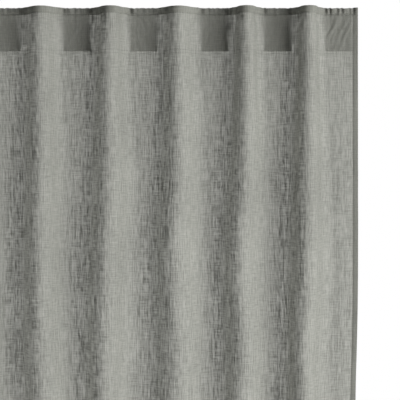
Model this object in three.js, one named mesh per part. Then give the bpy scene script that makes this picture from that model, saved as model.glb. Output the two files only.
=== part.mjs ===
// A back-tab curtain panel of washed linen, hung and softly gathered. Millimetres, +Z up.
// The origin is the axis of the rod that the panel is made for, at mid width. The front faces -Y.
//
// The panel is one cloth. It is divided here along its fold lines, because the folds move when the curtain
// is drawn. In front of each hidden tab a flat strip of cloth hangs against the rod (back_fold). Between two
// tabs the cloth bulges forward in a round fold, made of a left and a right leaf (front_fold) that almost
// meet at its crest.
import * as THREE from "three";

// The cloth.
const flatWidth = 1400;
const finishedDrop = 2500;
const clothThickness = 2;
const sideHemWidth = 12;
const sideHemThickness = 3;
const headerHeight = 15;
// Flat width between two tabs over their distance as hung, on average.
const fullness = 1.293;
// How wide each gap between two tabs hangs beside the mean gap, from the left edge to the right one.
const gapShares = [1.0, 0.98, 1.065, 1.005, 1.075, 0.95, 0.925];

// The tabs, and the rod that they are made for.
const tabWidth = 60;
const tabLength = 76;
const tabThickness = 1.6;
const tabSeamAllowance = 7;
const rodDiameter = 20;
const rodClearance = 1;
const threadThickness = 0.8;
const threadInset = 2;

// The care label, sewn into the right side hem at the back, near the bottom.
const labelWidth = 30;
const labelHeight = 55;
const labelThickness = 0.8;
const labelAboveHem = 150;

// Clearances between pieces.
const touchGap = 0.3;
const crestGap = 3.5;

// Everything below is worked out from the values above.
const tabCount = gapShares.length + 1;
const endMargin = sideHemWidth + tabWidth / 2;
const flatPitch = (flatWidth - 2 * endMargin) / gapShares.length;
const hungGaps = gapShares.map((share) => (flatPitch / fullness) * share);
const hungSpan = hungGaps.reduce((sum, gap) => sum + gap, 0);
const tabPlaces = hungGaps.reduce((places, gap) => [...places, places.at(-1) + gap], [-hungSpan / 2]);
const rodRadius = rodDiameter / 2;
const passageRadius = rodRadius + rodClearance;
const topSeam = passageRadius;
const bottomSeam = topSeam - tabLength;
const topEdge = topSeam + headerHeight;
const hemEdge = topEdge - finishedDrop;
const middleHeight = (topEdge + hemEdge) / 2;
const clothPlane = -passageRadius - clothThickness / 2;
const clothBack = clothPlane + clothThickness / 2;
const tabPlane = clothBack + touchGap + tabThickness / 2;
const hemBack = clothPlane + sideHemThickness / 2;
// A leaf's root is just in front of the back fold, flush with the tab's edge.
const hingeOffset = (tabWidth - clothThickness) / 2;
const hingePlane = clothPlane - clothThickness - touchGap;
const leafLength = (flatPitch - tabWidth) / 2;

const linen = new THREE.MeshStandardMaterial({ color: 0xa3a49c, roughness: 0.95, metalness: 0 });
const tabLinen = new THREE.MeshStandardMaterial({ color: 0x8f9088, roughness: 0.95, metalness: 0 });
const thread = new THREE.MeshStandardMaterial({ color: 0x7e7f77, roughness: 0.8, metalness: 0 });
const satin = new THREE.MeshStandardMaterial({ color: 0xecebe6, roughness: 0.6, metalness: 0 });

function piece(name, geometry, material, x, y, z) {
  const mesh = new THREE.Mesh(geometry, material);
  mesh.name = name;
  mesh.position.set(x, y, z);
  return mesh;
}

// A closed outline around a centre line, half the thickness to each side of it.
function outlineAlong(line, thickness) {
  const normals = line.map((point, i) => {
    const before = line[Math.max(i - 1, 0)];
    const after = line[Math.min(i + 1, line.length - 1)];
    const direction = after.clone().sub(before).normalize();
    return new THREE.Vector2(-direction.y, direction.x);
  });
  const side = (offset) => line.map((point, i) => point.clone().addScaledVector(normals[i], offset));
  return new THREE.Shape([...side(-thickness / 2), ...side(thickness / 2).reverse()]);
}

function extruded(line, thickness, depth) {
  return new THREE.ExtrudeGeometry(outlineAlong(line, thickness), { depth, bevelEnabled: false });
}

// The tab's way, as (Y, Z): down behind the header to the top seam, over the rod, down its back and forward
// to the bottom seam, and down behind the cloth again.
function tabWay() {
  const arcSteps = 10;
  const radius = passageRadius + tabThickness / 2;
  const seamHeight = topSeam + tabThickness;
  const tangentFrom = (height, turn) => {
    const direction = Math.atan2(height, tabPlane);
    return direction + turn * Math.acos(radius / Math.hypot(tabPlane, height));
  };
  const startAngle = tangentFrom(seamHeight, -1);
  const endAngle = tangentFrom(bottomSeam, 1);
  const line = [new THREE.Vector2(tabPlane, topEdge - touchGap), new THREE.Vector2(tabPlane, seamHeight)];
  for (let i = 0; i <= arcSteps; i++) {
    const angle = THREE.MathUtils.lerp(startAngle, endAngle, i / arcSteps);
    line.push(new THREE.Vector2(radius * Math.cos(angle), radius * Math.sin(angle)));
  }
  line.push(new THREE.Vector2(tabPlane, bottomSeam));
  line.push(new THREE.Vector2(tabPlane, bottomSeam - tabSeamAllowance));
  return line;
}

function tab(number) {
  const acrossRod = new THREE.Matrix4().makeBasis(
    new THREE.Vector3(0, 1, 0),
    new THREE.Vector3(0, 0, 1),
    new THREE.Vector3(1, 0, 0),
  );
  const strip = extruded(tabWay(), tabThickness, tabWidth).applyMatrix4(acrossRod);
  return piece(`tab_${number}`, strip, tabLinen, -tabWidth / 2, 0, 0);
}

function backFold(number) {
  const strip = new THREE.BoxGeometry(tabWidth, clothThickness, finishedDrop);
  return piece(`back_fold_${number}`, strip, linen, 0, clothPlane, middleHeight);
}

// A row of sewing thread on the back of a tab, at one of its two seams.
function stitching(name, height) {
  const row = new THREE.BoxGeometry(tabWidth - 2 * threadInset, threadThickness, threadThickness);
  const behindTab = tabPlane + tabThickness / 2 + touchGap + threadThickness / 2;
  return piece(name, row, thread, 0, behindTab, height);
}

// side is -1 on the left edge of the panel and 1 on the right one.
function sideHem(name, side) {
  const width = sideHemWidth - touchGap;
  const strip = new THREE.BoxGeometry(width, sideHemThickness, finishedDrop);
  return piece(name, strip, linen, side * (endMargin - width / 2), clothPlane, middleHeight);
}

function careLabel() {
  const label = new THREE.BoxGeometry(labelWidth, labelThickness, labelHeight);
  const behindHem = hemBack + touchGap + labelThickness / 2;
  const across = endMargin - sideHemWidth / 2 - labelWidth / 2;
  return piece("care_label", label, satin, across, behindHem, hemEdge + labelAboveHem);
}

// The length of a quarter of an ellipse, by Ramanujan's formula.
function quarterEllipse(a, b) {
  return (Math.PI / 4) * (3 * (a + b) - Math.sqrt((3 * a + b) * (a + 3 * b)));
}

// How far a front fold stands out, so that each of its leaves holds its full length of cloth.
function crestDepth(halfChord) {
  let low = 0;
  let high = leafLength;
  for (let i = 0; i < 40; i++) {
    const middle = (low + high) / 2;
    if (quarterEllipse(halfChord, middle) < leafLength) low = middle;
    else high = middle;
  }
  return low;
}

// One leaf of a front fold, from its root beside a back fold to the crest. side is 1 for the left leaf,
// which reaches towards +X, and -1 for the right one.
function leaf(name, gap, side) {
  const arcSteps = 8;
  const halfChord = gap / 2 - hingeOffset - crestGap;
  const depth = crestDepth(halfChord);
  const line = [];
  for (let i = 0; i <= arcSteps; i++) {
    const angle = (i / arcSteps) * (Math.PI / 2);
    line.push(new THREE.Vector2(side * halfChord * (1 - Math.cos(angle)), -depth * Math.sin(angle)));
  }
  const shape = extruded(line, clothThickness, finishedDrop);
  return piece(name, shape, linen, side * hingeOffset, hingePlane, hemEdge);
}

// What moves with one tab: the tab, its seams, the cloth in front of it, and the leaves on either side.
function tabStation(i) {
  const number = i + 1;
  const station = new THREE.Group();
  station.position.x = tabPlaces[i];
  station.add(backFold(number), tab(number));
  station.add(stitching(`tab_${number}_top_stitching`, topEdge - headerHeight / 3));
  station.add(stitching(`tab_${number}_bottom_stitching`, bottomSeam - tabSeamAllowance / 2));
  if (i > 0) station.add(leaf(`front_fold_${i}_right_leaf`, hungGaps[i - 1], -1));
  if (i < tabCount - 1) station.add(leaf(`front_fold_${number}_left_leaf`, hungGaps[i], 1));
  if (i === 0) station.add(sideHem("left_side_hem", -1));
  if (i === tabCount - 1) station.add(sideHem("right_side_hem", 1), careLabel());
  return station;
}

const panel = new THREE.Group();
for (let i = 0; i < tabCount; i++) panel.add(tabStation(i));

export default panel;
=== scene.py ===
"""Looks of the back-tab linen curtain panel, built around its CAD frame. Metres, +Z up, front towards -Y."""

import math

import bpy
import numpy as np
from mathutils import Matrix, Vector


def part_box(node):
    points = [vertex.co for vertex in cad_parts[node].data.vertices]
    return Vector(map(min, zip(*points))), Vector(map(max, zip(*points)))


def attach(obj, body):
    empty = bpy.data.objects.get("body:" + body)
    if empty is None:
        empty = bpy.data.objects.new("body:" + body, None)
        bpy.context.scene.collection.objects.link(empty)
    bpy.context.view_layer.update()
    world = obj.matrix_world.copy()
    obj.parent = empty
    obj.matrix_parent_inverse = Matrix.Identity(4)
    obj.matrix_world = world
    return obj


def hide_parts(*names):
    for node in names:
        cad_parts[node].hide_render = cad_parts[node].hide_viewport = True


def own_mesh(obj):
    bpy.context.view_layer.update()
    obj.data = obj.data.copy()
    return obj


MM = 0.001
TAB_NUMBERS = range(1, 9)
WHITE = (1, 1, 1, 1)

# The cloth, as cut and sewn.
FLAT_WIDTH = 1.4
SIDE_HEM = 0.0125
LAYER = 0.35 * MM  # one turned layer of a side hem behind another
INNER_LAYER, OUTER_LAYER = 3 * LAYER, 6 * LAYER  # how far back the header's and bottom hem's layers lie
HEADER = 0.0150  # the turned edge that stands up above the tabs as a frill
TAB_LENGTH = 0.076  # from the header's seam to where a tab lands on the cloth again
LOWER_ROWS = (-0.0045, -0.0112)  # two rows of stitching across the cloth, below where the tabs land
BOTTOM_HEM = 0.080
HEM_UNDERTURN = 0.010
STITCH_PITCH = 4.0 * MM
STITCH_LENGTH = 3.0 * MM
THREAD_RADIUS = 0.32 * MM
TAB_HALF_THICK = 0.5 * MM  # half of a tab's doubled cloth
LABEL_LENGTH = 0.030

# How the cloth hangs. A turn is the angle of the cloth to the window's plane, in radians.
HOLD_REACH = 0.26  # how far below the tabs the heading's hold on the folds has halved
SETTLE = (0.0, 0.008, 0.018, 0.002, 0.003, 0.0, 0.002, 0.002)  # how far right the cloth below each tab moves
SWAY = 0.008  # how far it wanders sideways around that, below every tab but the last
EDGE_SHIFT, EDGE_SHIFT_AT, EDGE_SHIFT_RUN = 0.006, -0.74, 0.05  # below the last, it moves left at this height
BACK_SET, BACK_WANDER = 0.006, 0.004  # how far back it hangs, and how much that wanders
LEAN = (0.28, -0.35, 0.28, 0.28, 0.28, 0.28, 0.28)  # how far each fold leans to one side below the heading
LEAN_WANDER = 0.38
LEAN_HELD = 0.75  # how much of the lean the heading takes away
# The share by which crests bend more and troughs less below the heading. Beside the tabs it is reversed.
CREST_PINCH = 0.05
ROD_REACH, ROD_FLAT = 0.013, 0.045  # how near the rod, and by what share, it widens the flats beside the tabs
LARGEST_TURN = 2.2  # no fold turns further than this
EDGE_CURL, EDGE_CURL_RUN = 0.20, 0.02  # how far the two edges curl back, and over what width that starts

# Small waves of the washed cloth, as (wavelength, turn), and the patches in which they come and go.
RIPPLES = ((0.071, 0.045), (0.043, 0.035), (0.027, 0.022))
RIPPLE_WANDER = 0.9  # how far they drift sideways on their way down, in wavelengths
RIPPLE_HELD = 0.8  # how much of them the heading takes away
PATCH_WIDTH, PATCH_SLANT = 0.31, 1.2

# The heading's crinkles and grooves. A pair is the size everywhere, and how much it adds at a tab.
CRINKLES = ((0.0118, 1.0), (0.0223, 0.7), (0.0083, 0.8))  # (wavelength, weight)
CRINKLE_DRIFT, CRINKLE_DRIFT_RATE = 2.0, 41  # how far they bunch up, and how fast that changes across
FRILL_FOOT, FRILL_RISE = -4 * MM, 12 * MM  # from where, against the seam, and over what height it grows
FRILL_BACK, FRILL_UP = (0.4 * MM, 2.2 * MM), (0.25 * MM, 1.0 * MM)
FRILL_DIP = 1.6 * MM  # how much lower the frill stands in front of a tab
UNDER_SEAM, UNDER_SEAM_REACH = (0.0, 0.7 * MM), 0.022  # the crinkles just under the seam
SEAM_GROOVE, SEAM_GROOVE_WIDTH = (0.9 * MM, 1.3 * MM), 1.8 * MM
HEM_GROOVE, HEM_GROOVE_WIDTH = 0.9 * MM, 1.4 * MM
NOTCH, NOTCH_WIDTH, NOTCH_OUTSIDE = 3.0 * MM, 3.5 * MM, 1 * MM  # the frill's dent just outside each tab

# The slanting creases of the cloth in front of each tab. The last tab's are the deepest.
CREASES = ((0.029, 0.50), (0.0173, 0.60), (0.0118, 0.42))  # (wavelength, weight)
CREASE_SIZE, LAST_CREASE_SIZE = 0.35 * MM, 1.0 * MM
CREASE_SLANT = (0.3, 0.5)  # the lowest and the highest
CREASE_RISING = 0.7  # the chance that the creases at a tab rise to the right
CREASE_HALF_WIDTH, CREASE_HALF_HEIGHT = 0.030, 0.045
CREASE_BEND, CREASE_BEND_LENGTH = 0.0015, 0.05
CREASE_FADE_LENGTH = 0.06  # how often, down the cloth, a crease comes and goes

# Wrinkles of the tabs themselves, as (size, wavelength across, wavelength down).
TAB_WRINKLES = ((0.35 * MM, 0.023, 1 / 14), (0.25 * MM, 0.013, -0.06))

# Seeds of the random waves.
FOLD_SEED, SWAY_SEED, BACK_SEED, RIPPLE_SEED, PUCKER_SEED, CREASE_SEED, TAB_SEED = 71, 31, 57, 11, 5, 23, 200

# How finely the cloth is meshed.
COLUMN_STEP = 3.5 * MM
SEAM_COLUMN_STEP = 1.2 * MM
FRILL_ROW_STEP = 2.4 * MM
SEAM_ROW_STEP = 1.0 * MM
HEADING_ROW_STEP = 3.0 * MM
ROW_STEP = 10.0 * MM
FINE_STEP = 1.0 * MM
EDGE_INSET = 1.5 * MM  # how far inside a folded edge the flat cloth's mesh and its seams end
MARGIN_STEPS = 40
EDGE_POINTS = 5  # points round a folded edge


# ---------------------------------------------------------------- the frame

def span(node, axis):
    """Lowest and highest coordinate of a CAD node along X, Y or Z."""
    low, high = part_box(node)
    return float(low["XYZ".index(axis)]), float(high["XYZ".index(axis)])


def middle(pair):
    """Halfway between two values."""
    return (pair[0] + pair[1]) / 2


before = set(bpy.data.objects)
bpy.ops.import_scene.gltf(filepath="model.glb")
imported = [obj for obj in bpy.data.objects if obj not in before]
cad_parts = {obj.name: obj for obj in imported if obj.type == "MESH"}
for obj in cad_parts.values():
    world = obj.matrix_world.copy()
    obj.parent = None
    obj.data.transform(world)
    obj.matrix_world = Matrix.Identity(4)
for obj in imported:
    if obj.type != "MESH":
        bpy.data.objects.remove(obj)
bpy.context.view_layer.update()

TAB_X = [middle(span(f"tab_{n}", "X")) for n in TAB_NUMBERS]
TAB_WIDTH = span("tab_1", "X")[1] - span("tab_1", "X")[0]
HEM_EDGE, TOP_EDGE = span("back_fold_1", "Z")
TAB_FRONT, TAB_REAR = span("tab_1", "Y")
TAB_FOOT = span("tab_1", "Z")[0]
RIGHT_EDGE = span("right_side_hem", "X")[1]

TOP_SEAM = TOP_EDGE - HEADER
BOTTOM_SEAM = TOP_SEAM - TAB_LENGTH
HEM_SEAM = FLAT_WIDTH / 2 - SIDE_HEM + 1.2 * MM
END_MARGIN = RIGHT_EDGE - TAB_X[-1]
FLAT_PITCH = (FLAT_WIDTH - 2 * END_MARGIN) / (len(TAB_X) - 1)
FLAT_TAB = [(i - (len(TAB_X) - 1) / 2) * FLAT_PITCH for i in range(len(TAB_X))]
CLOTH_PLANE = span("back_fold_1", "Y")[0] + 0.2 * MM
TAB_PLANE = TAB_FRONT + 0.8 * MM  # the middle of a tab's two layers, where it is sewn to the cloth


# ---------------------------------------------------------------- the drape

def wave(turns):
    """The sine of a number of whole turns."""
    return np.sin(2 * math.pi * turns)


def bell(distance, width, power=2):
    """1 at no distance, falling smoothly towards 0 beyond the width."""
    return np.exp(-((distance / width) ** power))


def patchy(turns):
    """A wave between 0.2 and 1, that lets another one come and go."""
    return 0.6 + 0.4 * wave(turns)


def smooth_noise(seed, z, wavelengths=(1.3, 0.61, 0.33)):
    """A slow wander along the height, from -1 to 1."""
    rng = np.random.default_rng(seed)
    weights = (1.0, 0.55, 0.3)
    total = sum(weight * wave(z / length + rng.random()) for length, weight in zip(wavelengths, weights))
    return total / sum(weights)


def held(z):
    """How firmly the heading's shape still holds the cloth: 1 beside the tabs, and less further down."""
    below = np.maximum(BOTTOM_SEAM - z, 0)
    return 1 / (1 + (below / HOLD_REACH) ** 2)


def fold_shape(s, z, number):
    """The turn of the cloth across one fold, from -1 to 1. s is 0 at one tab's middle and 1 at the next."""
    hold = held(z)[:, None]
    flat = TAB_WIDTH / 2 / FLAT_PITCH * hold + ROD_FLAT * bell(z, ROD_REACH)[:, None]
    t = np.clip((s[None, :] - flat) / (1 - 2 * flat), 0, 1)
    wander = smooth_noise(FOLD_SEED + number, z, (1.2, 0.62, 0.37))[:, None]
    lean = (LEAN[number] + LEAN_WANDER * wander) * (1 - LEAN_HELD * hold)
    t = t + lean * t * (1 - t)
    return -np.sin(2 * math.pi * t - CREST_PINCH * (1 - 2 * hold) * wave(t))


def ripples(u, z):
    """The turn of the small waves of the washed cloth, which grow below the heading."""
    rng = np.random.default_rng(RIPPLE_SEED)
    across, height = u[None, :], z[:, None]
    total = np.zeros((len(z), len(u)))
    for wavelength, size in RIPPLES:
        wander = smooth_noise(int(rng.integers(1000)), z, (0.9, 0.37, 0.19))[:, None]
        patch = patchy(across / PATCH_WIDTH + PATCH_SLANT * height + rng.random())
        total += size * patch * wave(across / wavelength + RIPPLE_WANDER * wander + rng.random())
    return total * (1 - RIPPLE_HELD * held(z)[:, None])


def station_places(z):
    """Where the cloth in front of each tab hangs, at each height: X and Y by tab."""
    loose = 1 - held(z)
    sideways, backwards = [], []
    for i, x in enumerate(TAB_X):
        if i < len(TAB_X) - 1:
            shift = (SETTLE[i] + SWAY * smooth_noise(SWAY_SEED + i, z, (1.3, 0.66, 0.38))) * loose
        else:
            shift = SETTLE[i] * loose - EDGE_SHIFT / (1 + np.exp((z - EDGE_SHIFT_AT) / EDGE_SHIFT_RUN))
        sideways.append(x + shift)
        backwards.append(CLOTH_PLANE + (BACK_SET + BACK_WANDER * smooth_noise(BACK_SEED + i, z)) * loose)
    return np.array(sideways).T, np.array(backwards).T


def solve_turn(shape, small, target):
    """The size of turn at which cloth of this shape takes up just the width it has, by halving."""
    low = np.zeros(len(target))
    high = np.full(len(target), LARGEST_TURN)
    for _ in range(40):
        mid = (low + high) / 2
        width = np.cos(mid[:, None] * shape + small).mean(axis=1)
        too_wide = width > target
        low = np.where(too_wide, mid, low)
        high = np.where(too_wide, high, mid)
    return (low + high) / 2


def running(values, step):
    """The running integral of values along the cloth, by the trapezium rule, from 0."""
    steps = (values[:, 1:] + values[:, :-1]) / 2 * step
    return np.concatenate([np.zeros((len(values), 1)), np.cumsum(steps, axis=1)], axis=1)


def drape_fold(i, z, xs, ys):
    """The front layer from tab i to the next: places across the flat cloth, and X, Y and turn by height."""
    count = int(round(FLAT_PITCH / FINE_STEP))
    s = np.linspace(0, 1, count + 1)
    u = FLAT_TAB[i] + s * FLAT_PITCH
    small = ripples(u, z)
    shape = fold_shape(s, z, i)
    gap = xs[:, i + 1] - xs[:, i]
    size = solve_turn(shape, small, gap / FLAT_PITCH)
    turn = size[:, None] * shape + small
    x = running(np.cos(turn), FLAT_PITCH / count)
    y = running(np.sin(turn), FLAT_PITCH / count)
    x += xs[:, i:i + 1] + s[None, :] * (gap - x[:, -1])[:, None]
    y += ys[:, i:i + 1] + s[None, :] * (ys[:, i + 1] - ys[:, i] - y[:, -1])[:, None]
    return u, x, y, turn


def drape_margin(side, z, xs, ys):
    """The front layer from an end tab to the edge beside it, on the left (side -1) or right (side 1)."""
    end = 0 if side < 0 else -1
    margin = np.linspace(0, END_MARGIN, MARGIN_STEPS + 1)
    u = FLAT_TAB[end] + side * margin
    curl = EDGE_CURL * (1 - held(z))[:, None] * np.minimum(margin / EDGE_CURL_RUN, 1)[None, :]
    turn = side * curl + ripples(u, z)
    x = xs[:, [end]] + side * running(np.cos(turn), END_MARGIN / MARGIN_STEPS)
    y = ys[:, [end]] + side * running(np.sin(turn), END_MARGIN / MARGIN_STEPS)
    return u, x, y, turn


def drape(z):
    """Fine places across the flat cloth, and X, Y and turn of its front layer there at each height z."""
    xs, ys = station_places(z)
    parts = [[np.flip(values, axis=-1) for values in drape_margin(-1, z, xs, ys)]]
    parts += [drape_fold(i, z, xs, ys) for i in range(len(TAB_X) - 1)]
    right = drape_margin(1, z, xs, ys)
    # Neighbouring parts meet in the middle of a tab, which only the part on its right keeps.
    trimmed = [[values[..., :-1] for values in part] for part in parts]
    return [np.concatenate(group, axis=-1) for group in zip(*trimmed, right)]


def from_tab(u):
    """How far each place across the flat cloth is from the middle of the nearest tab."""
    return np.min(np.abs(u[:, None] - np.array(FLAT_TAB)[None, :]), axis=1)


def near_tab(u):
    """1 in front of a tab's middle and 0 beyond its edges, smoothly."""
    outside, fade = 8 * MM, 12 * MM
    return np.clip((TAB_WIDTH / 2 + outside - from_tab(u)) / fade, 0, 1)


def puckers(u, z):
    """How far the header frill and the cloth near the seams crinkle, along the back normal and upwards."""
    rng = np.random.default_rng(PUCKER_SEED)
    over_tab = near_tab(u)[None, :]

    def sized(pair):
        return pair[0] + pair[1] * over_tab

    frill = np.clip((z - TOP_SEAM - FRILL_FOOT) / FRILL_RISE, 0, 1)[:, None]
    under = np.exp(-np.maximum(TOP_SEAM - z, 0) / UNDER_SEAM_REACH)[:, None] * (z < TOP_SEAM)[:, None]
    crinkle = np.zeros(len(u))
    for wavelength, weight in CRINKLES:
        phase = 2 * math.pi * (u / wavelength + rng.random())
        crinkle += weight * np.sin(phase + CRINKLE_DRIFT * np.sin(CRINKLE_DRIFT_RATE * u + rng.random()))
    crinkle = crinkle[None, :] / sum(weight for _, weight in CRINKLES)
    notch = bell(from_tab(u) - TAB_WIDTH / 2 - NOTCH_OUTSIDE, NOTCH_WIDTH)[None, :]
    seam_line = bell(z - TOP_SEAM, SEAM_GROOVE_WIDTH)[:, None]
    hem_line = bell(np.abs(u) - HEM_SEAM, HEM_GROOVE_WIDTH)[None, :]
    back = crinkle * (frill * sized(FRILL_BACK) + under * sized(UNDER_SEAM))
    back = back + NOTCH * frill * notch + sized(SEAM_GROOVE) * seam_line + HEM_GROOVE * hem_line
    up = crinkle * frill * sized(FRILL_UP) - FRILL_DIP * frill * over_tab
    return back, up


def creases(u, z):
    """Soft slanting creases that the pull of the tab leaves in the cloth in front of it."""
    rng = np.random.default_rng(CREASE_SEED)
    across, height = u[None, :], z[:, None]
    tall = bell(height - middle((TOP_SEAM, BOTTOM_SEAM)), CREASE_HALF_HEIGHT, 4)
    total = np.zeros((len(z), len(u)))
    for i, place in enumerate(FLAT_TAB):
        size = LAST_CREASE_SIZE if i == len(FLAT_TAB) - 1 else CREASE_SIZE
        slant = rng.uniform(*CREASE_SLANT) * (1 if rng.random() < CREASE_RISING else -1)
        wide = bell(across - place, CREASE_HALF_WIDTH, 4)
        athwart = across - slant * height + CREASE_BEND * wave(height / CREASE_BEND_LENGTH)
        lines = sum(
            weight * wave(athwart / wavelength + rng.random())
            * patchy(height / CREASE_FADE_LENGTH + rng.random())
            for wavelength, weight in CREASES
        )
        total += size * wide * tall * lines
    return total


# ---------------------------------------------------------------- the folded sheet

def folded(edge, away, gap):
    """Places and depths round a folded edge: away is the direction along the cloth towards the edge."""
    turns = np.linspace(0, math.pi, EDGE_POINTS)
    return [(edge - away * gap / 2 * (1 - math.sin(a)), gap / 2 * (1 - math.cos(a))) for a in turns]


def evenly(start, end, step):
    """Values from start to end, about a step apart."""
    return list(np.linspace(start, end, max(2, int(round(abs(end - start) / step)) + 1)))


def layer(places, depth=0.0):
    """Places along the flat cloth that all lie at one depth behind its front."""
    return [(place, depth) for place in places]


def column_path():
    """Across the cloth, as (place, depth): the left hem's turned layers, the front, then the right hem's."""
    half = FLAT_WIDTH / 2
    end_tab = FLAT_TAB[-1] - TAB_WIDTH / 2
    inner_fold = ((0.15, 1.85), (0, 1.5), (0.15, 1.15))  # round the fold inside the hem, in layers
    turned = [half - EDGE_INSET, half - 4 * MM, HEM_SEAM + 3 * MM, HEM_SEAM + 1.5 * MM, HEM_SEAM]
    right = layer(evenly(0, end_tab, COLUMN_STEP))
    right += layer(evenly(end_tab + COLUMN_STEP / 2, HEM_SEAM - 3.5 * MM, COLUMN_STEP / 2))
    right += layer(evenly(HEM_SEAM - 2 * MM, half - EDGE_INSET, SEAM_COLUMN_STEP))
    right += folded(half, 1, 2 * LAYER)
    right += layer(turned, 2 * LAYER)
    right += [(half - SIDE_HEM + x * LAYER, depth * LAYER) for x, depth in inner_fold]
    right += layer(turned[::-1], LAYER)
    left = [(-u, depth) for u, depth in right[:0:-1]]
    return left + right


def row_path():
    """Down the cloth, as (height, depth): the header's turned layer, the front, then the bottom hem."""
    header_foot, hem_top = TOP_SEAM - 2 * MM, HEM_EDGE + BOTTOM_HEM
    near_seam = 4 * MM
    underturn = hem_top - 0.3 * MM
    rows = layer(evenly(header_foot, TOP_EDGE - EDGE_INSET, FRILL_ROW_STEP), OUTER_LAYER)
    rows += [(z, OUTER_LAYER - depth) for z, depth in folded(TOP_EDGE, 1, OUTER_LAYER)]
    rows += layer(evenly(TOP_EDGE - EDGE_INSET, TOP_SEAM + near_seam, FRILL_ROW_STEP))
    rows += layer(evenly(TOP_SEAM + near_seam - SEAM_ROW_STEP, TOP_SEAM - near_seam, SEAM_ROW_STEP))
    rows += layer(evenly(TOP_SEAM - near_seam - 2 * MM, BOTTOM_SEAM - 12 * MM, HEADING_ROW_STEP))
    rows += layer(evenly(BOTTOM_SEAM - 18 * MM, HEM_EDGE + EDGE_INSET, ROW_STEP))
    rows += folded(HEM_EDGE, -1, OUTER_LAYER)
    rows += layer(evenly(HEM_EDGE + EDGE_INSET, hem_top - 1 * MM, ROW_STEP), OUTER_LAYER)
    rows += [(underturn, OUTER_LAYER - 0.5 * LAYER), (underturn, INNER_LAYER + 0.5 * LAYER)]
    rows += layer(evenly(hem_top - 1 * MM, hem_top - HEM_UNDERTURN, 4 * MM), INNER_LAYER)
    return rows


class Surface:
    """The draped cloth: gives the place of any point of the flat cloth, at any depth behind its front."""

    def __init__(self, heights):
        self.z = np.array(sorted(set(heights)))
        self.u, x, y, self.turn = drape(self.z)
        back, self.up = puckers(self.u, self.z)
        back = back + creases(self.u, self.z)
        self.x = x - np.sin(self.turn) * back
        self.y = y + np.cos(self.turn) * back

    def places(self, u, z, depth):
        """Points for the places u across and one height z, at a depth or with a depth for each."""
        above = int(np.clip(np.searchsorted(self.z, z), 1, len(self.z) - 1))
        share = (z - self.z[above - 1]) / (self.z[above] - self.z[above - 1])

        def at(grid):
            line = grid[above - 1] * (1 - share) + grid[above] * share
            return np.interp(u, self.u, line)

        turn = at(self.turn)
        x = at(self.x) - np.sin(turn) * depth
        y = at(self.y) + np.cos(turn) * depth
        return np.stack([x, y, z + at(self.up)], axis=-1)


def mesh_object(name, points, faces, material, uv=None):
    """A smooth mesh of one material. uv is each point's place on the flat cloth, in metres."""
    mesh = bpy.data.meshes.new(name)
    mesh.from_pydata([tuple(p) for p in np.asarray(points, float).tolist()], [], faces)
    mesh.polygons.foreach_set("use_smooth", [True] * len(mesh.polygons))
    if uv is not None:
        corners = np.empty(len(mesh.loops), dtype=np.int32)
        mesh.loops.foreach_get("vertex_index", corners)
        mesh.uv_layers.new(name="cloth").data.foreach_set("uv", np.asarray(uv, float)[corners].ravel())
    mesh.materials.append(material)
    mesh.update()
    obj = bpy.data.objects.new(name, mesh)
    bpy.context.scene.collection.objects.link(obj)
    return obj


def grid_faces(rows, columns, closed=False):
    """Faces between neighbouring rows of points. closed also joins the last column to the first."""
    faces = []
    for row in range(0, (rows - 1) * columns, columns):
        for c in range(columns if closed else columns - 1):
            here, beside = row + c, row + (c + 1) % columns
            faces.append((here, beside, beside + columns, here + columns))
    return faces


def grid_uv(along, down):
    """Places on the flat cloth for a grid of points, in the order of its points."""
    return np.stack(np.meshgrid(along, down), axis=-1).reshape(-1, 2)


def flat_lengths(path):
    """How far along the flat cloth each point of a path lies."""
    steps = [math.dist(a, b) for a, b in zip(path, path[1:])]
    return np.concatenate([[0], np.cumsum(steps)])


def make_panel(surface, columns, rows, material):
    """The whole panel: one cloth, with its header, side hems and bottom hem turned to the back."""
    u = np.array([place for place, _ in columns])
    hem = np.array([depth for _, depth in columns])
    points = np.concatenate([surface.places(u, z, hem + depth) for z, depth in rows])
    along, down = flat_lengths(columns), flat_lengths(rows)
    faces = grid_faces(len(rows), len(columns))
    panel = mesh_object("linen_panel", points, faces, material, grid_uv(along, down))
    return panel


# ---------------------------------------------------------------- the tabs

def tab_path():
    """The way of a tab as (Y, Z): down behind the header, over the rod, down its back and on to its foot.

    The second value is the number of the point at which the tab leaves the header.
    """
    radius = TAB_REAR - 0.8 * MM
    seam_height = TOP_SEAM + 1.6 * MM
    slack, arc_points, back_points = 0.9 * MM, 13, 14
    start = math.atan2(seam_height, TAB_PLANE) - math.acos(radius / math.hypot(TAB_PLANE, seam_height))
    end = math.atan2(BOTTOM_SEAM, TAB_PLANE) + math.acos(radius / math.hypot(TAB_PLANE, BOTTOM_SEAM))
    path = [(TAB_PLANE, z) for z in evenly(TOP_EDGE - 0.5 * MM, seam_height + 1.5 * MM, 2.5 * MM)]
    path += [(TAB_PLANE + 0.4 * MM, seam_height + 0.5 * MM), (TAB_PLANE + 1.6 * MM, seam_height)]
    leaves = len(path)
    path += [(radius * math.cos(a), radius * math.sin(a)) for a in np.linspace(start, end, arc_points)]
    y, z = path[-1]
    for t in np.linspace(0, 1, back_points)[1:-1]:
        path.append((y + (TAB_PLANE - y) * t + slack * math.sin(math.pi * t), z + (BOTTOM_SEAM - z) * t))
    path += [(TAB_PLANE + 0.3 * MM, BOTTOM_SEAM + 0.6 * MM)]
    path += [(TAB_PLANE, z) for z in evenly(BOTTOM_SEAM - 0.8 * MM, TAB_FOOT + 0.3 * MM, 2 * MM)]
    return np.array(path), leaves


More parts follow.
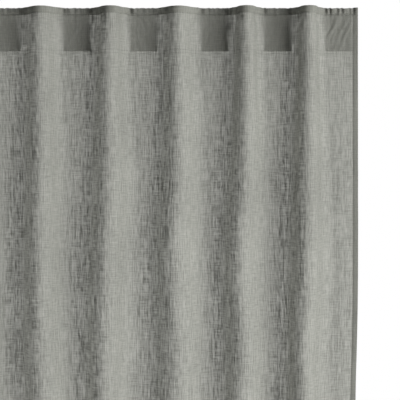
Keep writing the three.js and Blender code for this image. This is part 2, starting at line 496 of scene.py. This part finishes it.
def tab_ring():
    """A tab cut across, as (X, depth): two flat layers that a fold at each side joins."""
    half, thick, corner = TAB_WIDTH / 2, TAB_HALF_THICK, 0.3 * MM
    ring = [(x, -thick) for x in np.linspace(-half + 1.2 * MM, half - 1.2 * MM, 15)]
    ring += [(half - corner, -0.6 * thick), (half, 0), (half - corner, 0.6 * thick)]
    ring += [(-x, -depth) for x, depth in ring]
    return np.array(ring)


def outward(path):
    """Unit normals of a path, on its rear side."""
    tangent = np.gradient(path, axis=0)
    tangent /= np.linalg.norm(tangent, axis=1)[:, None]
    return np.stack([-tangent[:, 1], tangent[:, 0]], axis=1)


def make_tab(number, surface, material):
    """A tab: a strip of doubled cloth, folded at its two sides, so it is a flat closed tube of cloth."""
    path, leaves = tab_path()
    across, thickness = tab_ring().T
    down = flat_lengths(path.tolist())
    sewn_foot, loosening = 8 * MM, 20 * MM
    loose = np.clip(np.minimum(down - down[leaves], down[-1] - sewn_foot - down) / loosening, 0, 1)
    lift, narrowing, narrowing_length = 0.35 * MM, 0.012, 0.08
    phases = np.random.default_rng(TAB_SEED + number).random(3)
    u = FLAT_TAB[number - 1] + across
    points = []
    for (y, z), (ny, nz), length, free in zip(path, outward(path), down, loose):
        depth = thickness + free * lift
        for (size, wavelength, rise), phase in zip(TAB_WRINKLES, phases):
            depth = depth + free * size * wave(across / wavelength + length / rise + phase)
        width = 1 - narrowing * free * (1 + wave(length / narrowing_length + phases[2]))
        x = TAB_X[number - 1] + across * width
        place = np.stack([x, y + ny * depth, z + nz * depth], axis=-1)
        if free == 0:  # sewn to the cloth, so it follows the cloth's crinkles
            place[:, 1:] += (surface.places(u, z, 0) - [0, CLOTH_PLANE, z])[:, 1:]
        points.append(place)
    sides, count = len(across), len(path)
    faces = grid_faces(count, sides, closed=True)
    faces.append(tuple(range(sides)))
    faces.append(tuple(range((count - 1) * sides, count * sides))[::-1])
    ring = tab_ring().tolist()
    around = flat_lengths(ring + ring[:1])[:-1]
    apart = 0.2  # each tab shows its own stretch of the weave, away from the header's open one
    uv = grid_uv(around + apart * number, down + apart)
    tab = mesh_object(f"tab_loop_{number}", np.concatenate(points), faces, material, uv)
    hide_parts(f"tab_{number}")
    return tab


# ---------------------------------------------------------------- the stitching

def stitch_mesh(name, starts, ends, outs, material):
    """Short rounded stitches from starts to ends, each bulging towards its out direction."""
    sides = 5
    rings = ((0.0, 0.25), (0.12, 0.75), (0.5, 1.0), (0.88, 0.75), (1.0, 0.25))  # (how far along, how thick)
    bulge, sunk = 1.6 * THREAD_RADIUS, 0.7 * THREAD_RADIUS
    points, faces = [], []
    for start, end, out in zip(starts, ends, outs):
        along = end - start
        length = np.linalg.norm(along)
        along = along / length
        out = out - along * np.dot(out, along)
        out = out / np.linalg.norm(out)
        side = np.cross(along, out)
        base = len(points)
        for t, fat in rings:
            centre = start + along * length * t + out * (bulge * math.sin(math.pi * t) - sunk)
            for k in range(sides):
                a = 2 * math.pi * k / sides
                points.append(centre + THREAD_RADIUS * fat * (math.cos(a) * out + math.sin(a) * side))
        faces += [tuple(base + i for i in face) for face in grid_faces(len(rings), sides, closed=True)]
        faces.append(tuple(base + k for k in reversed(range(sides))))
        faces.append(tuple(base + (len(rings) - 1) * sides + k for k in range(sides)))
    return mesh_object(name, points, faces, material)


def stitched_line(points, normals):
    """Cuts a polyline into stitches: starts, ends and out directions."""
    steps = np.linalg.norm(np.diff(points, axis=0), axis=1)
    run = np.concatenate([[0], np.cumsum(steps)])
    first = np.arange(0, run[-1] - STITCH_LENGTH, STITCH_PITCH)

    def at(values, places):
        return np.stack([np.interp(places, run, values[:, k]) for k in range(3)], axis=-1)

    return at(points, first), at(points, first + STITCH_LENGTH), at(normals, first + STITCH_LENGTH / 2)


def line_across(surface, z, depth, side):
    """A line over the whole width at one height, on the front (side -1) or back (side 1) of a layer."""
    u = np.arange(-FLAT_WIDTH / 2 + EDGE_INSET, FLAT_WIDTH / 2 - EDGE_INSET, 1.0 * MM)
    points, behind = surface.places(u, z, depth), surface.places(u, z, depth + MM)
    return points, side * (behind - points)


def line_down(surface, u, depth, side):
    """A line down the whole drop at one place across, on the front or back of a layer."""
    heights = np.arange(TOP_EDGE - EDGE_INSET, HEM_EDGE + EDGE_INSET, -4.0 * MM)
    points = np.array([surface.places(u, z, depth) for z in heights])
    behind = np.array([surface.places(u, z, depth + MM) for z in heights])
    return points, side * (behind - points)


def make_seam(name, lines, material):
    """One piece of thread from all the lines of a seam."""
    parts = [stitched_line(points, normals) for points, normals in lines]
    starts, ends, outs = (np.concatenate(list(group)) for group in zip(*parts))
    return stitch_mesh(name, starts, ends, outs, material)


def make_seams(surface, material):
    """The seams of the panel itself, each with stitches on its front and on its back."""
    front = (0.0, -1)
    turned, single, side_hem = (front, (OUTER_LAYER, 1)), (front, (0.0, 1)), (front, (2 * LAYER, 1))
    across = {
        "header_seam": ([TOP_SEAM], turned),
        "bottom_hem_seam": ([HEM_EDGE + BOTTOM_HEM - 2.5 * MM], turned),
        "heading_lower_seam": ([BOTTOM_SEAM + drop for drop in LOWER_ROWS], single),
    }
    seams = []
    for name, (heights, layers) in across.items():
        lines = [line_across(surface, z, depth, side) for z in heights for depth, side in layers]
        seams.append(make_seam(name, lines, material))
    for name, u in (("left_hem_seam", -HEM_SEAM), ("right_hem_seam", HEM_SEAM)):
        lines = [line_down(surface, u, depth, side) for depth, side in side_hem]
        seams.append(make_seam(name, lines, material))
    return seams


def make_tab_seams(number, material):
    """The two rows of thread on the back of a tab, which stand for its two CAD rows."""
    half, count = TAB_WIDTH / 2 - 2 * MM, 30
    x = np.linspace(-half, half, count) + TAB_X[number - 1]
    made = []
    for row, z in (("top", TOP_SEAM + 4.5 * MM), ("bottom", middle((BOTTOM_SEAM, TAB_FOOT)))):
        points = np.stack([x, np.full(count, TAB_PLANE + TAB_HALF_THICK), np.full(count, z)], axis=-1)
        normals = np.tile([0.0, 1.0, 0.0], (count, 1))
        seam = make_seam(f"tab_{number}_{row}_seam", [(points, normals)], material)
        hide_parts(f"tab_{number}_{row}_stitching")
        made.append(seam)
    return made


# ---------------------------------------------------------------- the care label

def make_label(surface, material):
    """A blank satin label, sewn into the right side hem by its outer end, with its free end curling back."""
    low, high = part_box("care_label")
    rise = high[2] - low[2]
    heights = np.linspace(low[2], high[2], 15)
    out = np.linspace(0, 1, 11)
    sewn_at, start_depth = FLAT_WIDTH / 2 - SIDE_HEM + 3 * MM, 3 * LAYER + 0.4 * MM
    curl, more_at_top = 3.0 * MM, 1.5 * MM
    points = []
    for z in heights:
        depth = start_depth + (curl + more_at_top * (z - low[2]) / rise) * out ** 2
        points.append(surface.places(sewn_at - LABEL_LENGTH * out, z, depth))
    uv = grid_uv(LABEL_LENGTH * out, heights - low[2])
    faces = grid_faces(len(heights), len(out))
    label = mesh_object("blank_care_label", np.concatenate(points), faces, material, uv)
    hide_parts("care_label")
    return label


# ---------------------------------------------------------------- materials

class Nodes:
    """A small helper that adds shader nodes to a new material or world and links their sockets."""

    def __init__(self, owner):
        self.owner = owner
        owner.use_nodes = True
        self.tree = owner.node_tree
        self.tree.nodes.clear()

    def add(self, kind, **settings):
        node = self.tree.nodes.new(kind)
        for key, value in settings.items():
            setattr(node, key, value)
        return node

    def feed(self, socket, value):
        """Links another node's output to a socket, or puts a plain value on it."""
        if isinstance(value, bpy.types.NodeSocket):
            self.tree.links.new(value, socket)
        else:
            socket.default_value = value

    def shader(self, kind, sockets):
        """A shader node with these values or links on its named sockets."""
        node = self.add(kind)
        for name, value in sockets.items():
            self.feed(node.inputs[name], value)
        return node.outputs[0]

    def finish(self, shader, kind="ShaderNodeOutputMaterial"):
        self.feed(self.add(kind).inputs["Surface"], shader)
        return self.owner

    def math(self, operation, *values):
        node = self.add("ShaderNodeMath", operation=operation)
        for socket, value in zip(node.inputs, values):
            self.feed(socket, value)
        return node.outputs[0]

    def axis(self, vector, number):
        """One coordinate of a vector: 0 for X, 1 for Y and 2 for Z."""
        node = self.add("ShaderNodeSeparateXYZ")
        self.feed(node.inputs[0], vector)
        return node.outputs[number]

    def noise(self, vector, scale, detail=2.0, rough=0.5):
        """Soft random patches, with their own number of them per metre along each axis."""
        scaled = self.add("ShaderNodeMapping")
        self.feed(scaled.inputs["Scale"], scale)
        self.feed(scaled.inputs["Vector"], vector)
        node = self.add("ShaderNodeTexNoise")
        sockets = {"Vector": scaled.outputs[0], "Scale": 1.0, "Detail": detail, "Roughness": rough}
        for name, value in sockets.items():
            self.feed(node.inputs[name], value)
        return node.outputs["Fac"]

    def ranged(self, value, low, high, to_low=0.0, to_high=1.0):
        """Maps low to to_low and high to to_high, and goes no further than these."""
        node = self.add("ShaderNodeMapRange")
        sockets = {"Value": value, "From Min": low, "From Max": high, "To Min": to_low, "To Max": to_high}
        for name, number in sockets.items():
            self.feed(node.inputs[name], number)
        return node.outputs[0]

    def mixed(self, share, a, b):
        """A colour from a, at share 0, to b, at share 1."""
        node = self.add("ShaderNodeMix", data_type="RGBA")
        color_a, color_b = node.inputs[6], node.inputs[7]
        for socket, value in ((node.inputs["Factor"], share), (color_a, a), (color_b, b)):
            self.feed(socket, value)
        return node.outputs[2]

    def bump(self, height, strength, distance):
        return self.shader("ShaderNodeBump", {"Strength": strength, "Distance": distance, "Height": height})


def new_material(name):
    return Nodes(bpy.data.materials.new(name))


def linen_material():
    """Washed linen: a plain weave of uneven yarns with slubs both ways, that lets part of the light through.

    The header's turned layer, which starts the cloth's length, is a more open and paler weave.
    """
    dark, light = (0.165, 0.167, 0.15, 1), (0.565, 0.571, 0.515, 1)
    header_dark, header_light = (0.252, 0.254, 0.229, 1), (0.862, 0.87, 0.786, 1)
    open_weave, thick_yarn = (0.98, 0.985, 0.92, 1), (0.03, 0.031, 0.027, 1)
    through, header_through = 0.36, 0.58
    warp_pitch, weft_pitch, weave_height, cloud_share = 1.15 * MM, 1.25 * MM, 0.16, 0.20
    n = new_material("washed_linen")
    uv = n.add("ShaderNodeUVMap", uv_map="cloth").outputs[0]
    slub_layers = (
        (0.42, n.noise(uv, (560, 40, 1), 2.5, 0.6)),  # short thick places of the warp
        (0.30, n.noise(uv, (36, 540, 1), 2.5, 0.6)),  # and of the weft
        (0.28, n.noise(uv, (430, 11, 1))),  # long streaks of the warp
    )
    cloudy = n.noise(uv, (9, 6, 1), 3.0)
    warp_yarn = n.math("SINE", n.math("MULTIPLY", n.axis(uv, 0), 2 * math.pi / warp_pitch))
    weft_yarn = n.math("SINE", n.math("MULTIPLY", n.axis(uv, 1), 2 * math.pi / weft_pitch))
    weave = n.math("MULTIPLY", warp_yarn, weft_yarn)
    warp_slubs, weft_slubs, streaks = (n.math("MULTIPLY", noise, share) for share, noise in slub_layers)
    slubs = n.ranged(n.math("ADD", n.math("ADD", warp_slubs, weft_slubs), streaks), 0.35, 0.65)
    clouds = n.ranged(cloudy, 0.3, 0.7)
    tone = n.math("ADD", n.math("MULTIPLY", slubs, 1 - cloud_share), n.math("MULTIPLY", clouds, cloud_share))
    below_header = n.ranged(n.axis(uv, 1), HEADER, HEADER + 3 * MM)
    shade = n.mixed(below_header, n.mixed(tone, header_dark, header_light), n.mixed(tone, dark, light))
    height = n.math("ADD", slubs, n.math("MULTIPLY", weave, weave_height))
    normal = n.bump(height, 0.15, 0.9 * MM)
    front = n.shader("ShaderNodeBsdfPrincipled", {
        "Specular IOR Level": 0.25,
        "Sheen Weight": 0.12,
        "Sheen Roughness": 0.5,
        "Base Color": shade,
        "Roughness": n.ranged(tone, 0, 1, 0.96, 0.84),
        "Normal": normal,
    })
    let_through = n.mixed(n.ranged(slubs, 0.23, 0.77), open_weave, thick_yarn)
    glow = n.shader("ShaderNodeBsdfTranslucent", {"Color": let_through, "Normal": normal})
    mix = n.add("ShaderNodeMixShader")
    share = n.ranged(below_header, 0, 1, header_through, through)
    for socket, value in zip(mix.inputs, (share, front, glow)):
        n.feed(socket, value)
    return n.finish(mix.outputs[0])


def thread_material():
    """Matt sewing thread, darker than the cloth."""
    n = new_material("sewing_thread")
    where = n.add("ShaderNodeTexCoord").outputs["Object"]
    fibres = n.noise(where, (900, 900, 900))
    shade = n.mixed(fibres, (0.10, 0.102, 0.088, 1), (0.20, 0.203, 0.18, 1))
    roughness = n.ranged(fibres, 0.3, 0.7, 0.6, 0.8)
    sockets = {"Sheen Weight": 0.2, "Base Color": shade, "Roughness": roughness}
    return n.finish(n.shader("ShaderNodeBsdfPrincipled", sockets))


def label_material():
    """White satin ribbon with fine yarns along it."""
    n = new_material("label_satin")
    uv = n.add("ShaderNodeUVMap", uv_map="cloth").outputs[0]
    yarn = n.noise(uv, (3200, 160, 1))
    shade = n.mixed(yarn, (0.70, 0.69, 0.655, 1), (0.86, 0.85, 0.82, 1))
    roughness = n.ranged(yarn, 0.3, 0.7, 0.35, 0.5)
    normal = n.bump(yarn, 0.3, 0.2 * MM)
    sockets = {"Sheen Weight": 0.1, "Base Color": shade, "Roughness": roughness, "Normal": normal}
    return n.finish(n.shader("ShaderNodeBsdfPrincipled", sockets))


# ---------------------------------------------------------------- stage, light and camera

def floor_material():
    """A pale floor that keeps its shadows and fades to white far out, which the camera alone sees."""
    shadowed_to, white_from = 3.0, 8.0
    n = new_material("pale_floor")
    seen = n.add("ShaderNodeLightPath").outputs["Is Camera Ray"]
    away = n.add("ShaderNodeVectorMath", operation="LENGTH")
    n.feed(away.inputs[0], n.add("ShaderNodeTexCoord").outputs["Object"])
    fade = n.ranged(away.outputs["Value"], shadowed_to, white_from, 0.5, 1.0)
    return n.finish(n.shader("ShaderNodeBsdfPrincipled", {
        "Base Color": (0.62, 0.62, 0.62, 1),
        "Roughness": 0.9,
        "Emission Color": WHITE,
        "Emission Strength": n.math("MULTIPLY", seen, fade),
    }))


def make_floor():
    """A wide floor that the hem hangs just clear of."""
    half, z = 9.0, HEM_EDGE - 0.015
    corners = [(-half, -half, z), (half, -half, z), (half, half, z), (-half, half, z)]
    mesh_object("floor", corners, [(0, 1, 2, 3)], floor_material())


def make_world(strength):
    """White for the camera and in reflections, and otherwise only as bright as strength."""
    world = bpy.data.worlds.new("studio")
    bpy.context.scene.world = world
    n = Nodes(world)
    paths = n.add("ShaderNodeLightPath")
    seen = n.math("MAXIMUM", paths.outputs["Is Camera Ray"], paths.outputs["Is Glossy Ray"])
    sockets = {"Color": WHITE, "Strength": n.ranged(seen, 0, 1, strength, 1.0)}
    n.finish(n.shader("ShaderNodeBackground", sockets), "ShaderNodeOutputWorld")


def make_light(name, place, target, power, size):
    """A soft lamp that lights the panel and isn't seen itself."""
    data = bpy.data.lights.new(name, "AREA")
    data.energy = power
    data.shape = "RECTANGLE"
    data.size, data.size_y = size
    lamp = bpy.data.objects.new(name, data)
    lamp.location = place
    aim = np.array(target) - np.array(place)
    yaw = math.atan2(aim[1], aim[0]) - math.pi / 2
    pitch = math.atan2(aim[2], math.hypot(aim[0], aim[1])) + math.pi / 2
    lamp.rotation_euler = (pitch, 0, yaw)
    lamp.visible_camera = False
    bpy.context.scene.collection.objects.link(lamp)


def make_camera():
    """Straight in front of the panel's upper right part, 0.4 m below the rod."""
    distance, field = 3.6, 0.88  # field is how much of the cloth's plane the picture is wide
    right_share, rod_share = 0.395, 0.452  # how far the right edge and the rod lie from its middle
    data = bpy.data.cameras.new("camera")
    data.sensor_width = 36
    data.lens = data.sensor_width * distance / field
    camera = bpy.data.objects.new("camera", data)
    camera.location = (RIGHT_EDGE - right_share * field, CLOTH_PLANE - distance, -rod_share * field)
    camera.rotation_euler = (math.pi / 2, 0, 0)
    bpy.context.scene.collection.objects.link(camera)
    bpy.context.scene.camera = camera


def light_stage():
    """A wide key from the front right, and daylight from behind that shows through the cloth."""
    make_world(0.06)
    make_light("key", place=(5.8, -3.85, -0.6), target=(0, 0, -0.9), power=456, size=(3.6, 2.8))
    make_light("window", place=(0.2, 1.0, -1.35), target=(0.2, 0, -1.35), power=9, size=(3.0, 2.1))
    make_light("daylight", place=(0.3, 3.0, -0.9), target=(0, 0, -0.9), power=54, size=(2.4, 2.4))
    bpy.context.scene.view_settings.view_transform = "Standard"


# ---------------------------------------------------------------- the whole panel

def hang(piece):
    """The piece is part of the cloth, and rides on the body of the tab at the wall side."""
    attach(piece, "wall_side_tab")
    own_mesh(piece)


def build():
    make_camera()
    light_stage()
    make_floor()
    columns, rows = column_path(), row_path()
    surface = Surface([z for z, _ in rows])
    linen = linen_material()
    thread = thread_material()
    panel = make_panel(surface, columns, rows, linen)
    folds = [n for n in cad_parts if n.startswith(("back_fold", "front_fold")) or n.endswith("side_hem")]
    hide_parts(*folds)
    hang(panel)
    for number in TAB_NUMBERS:
        hang(make_tab(number, surface, linen))
        for seam in make_tab_seams(number, thread):
            hang(seam)
    for seam in make_seams(surface, thread):
        hang(seam)
    hang(make_label(surface, label_material()))


build()
